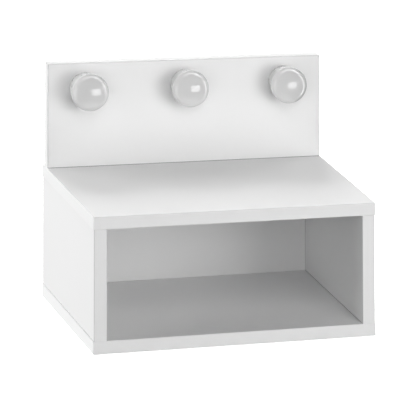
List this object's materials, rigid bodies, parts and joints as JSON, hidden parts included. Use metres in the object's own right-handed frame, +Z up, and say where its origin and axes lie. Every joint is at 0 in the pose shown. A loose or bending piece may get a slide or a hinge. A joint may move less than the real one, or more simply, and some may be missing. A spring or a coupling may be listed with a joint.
{
  "type": "wall hook rack",
  "caption": "Wall-hung white box shelf with an open cubby, an upright back board above it and round turned knobs on the board as coat hooks.",
  "frame": {"origin": "centre of the box's footprint on its underside: the middle of the bounding box at its lowest level", "axes": "+X to the right along the width as seen from the front, +Y from the open front to the wall, +Z up"},
  "size_m": [0.4, 0.3, 0.34],
  "materials": {
    "melamine": "white melamine face on chipboard, satin",
    "edging": "white ABS edge band, satin",
    "fibreboard": "white-faced hardboard, low sheen",
    "lacquer": "white high-gloss lacquer on turned wood",
    "beech": "bare beech, matt",
    "brass": "turned, satin",
    "zinc": "zinc plated, satin"
  },
  "bodies": {
    "root": {"top_panel": "melamine", "bottom_panel": "melamine", "left_side_panel": "melamine", "right_side_panel": "melamine", "knob_board": "melamine", "cavity_back_panel": "fibreboard", "top_front_edge_band": "edging", "top_left_edge_band": "edging", "top_right_edge_band": "edging", "bottom_front_edge_band": "edging", "bottom_left_edge_band": "edging", "bottom_right_edge_band": "edging", "left_side_edge_band": "edging", "knob_board_left_edge_band": "edging", "right_side_edge_band": "edging", "knob_board_right_edge_band": "edging", "knob_board_top_edge_band": "edging", "knob_1": "lacquer", "knob_insert_1": "brass", "knob_washer_1": "zinc", "knob_screw_1": "zinc", "knob_2": "lacquer", "knob_insert_2": "brass", "knob_washer_2": "zinc", "knob_screw_2": "zinc", "knob_3": "lacquer", "knob_insert_3": "brass", "knob_washer_3": "zinc", "knob_screw_3": "zinc", "top_dowel_left_front": "beech", "top_dowel_left_rear": "beech", "top_dowel_right_front": "beech", "top_dowel_right_rear": "beech", "bottom_dowel_left": "beech", "bottom_dowel_right": "beech", "knob_board_dowel_1": "beech", "knob_board_dowel_2": "beech", "bottom_screw_left_front": "zinc", "bottom_screw_left_rear": "zinc", "bottom_screw_right_front": "zinc", "bottom_screw_right_rear": "zinc", "knob_board_screw_1": "zinc", "knob_board_screw_2": "zinc", "knob_board_screw_3": "zinc", "left_hanger_plate": "zinc", "left_hanger_screw_lower": "zinc", "left_hanger_screw_upper": "zinc", "right_hanger_plate": "zinc", "right_hanger_screw_lower": "zinc", "right_hanger_screw_upper": "zinc"}
  },
  "joints": []
}
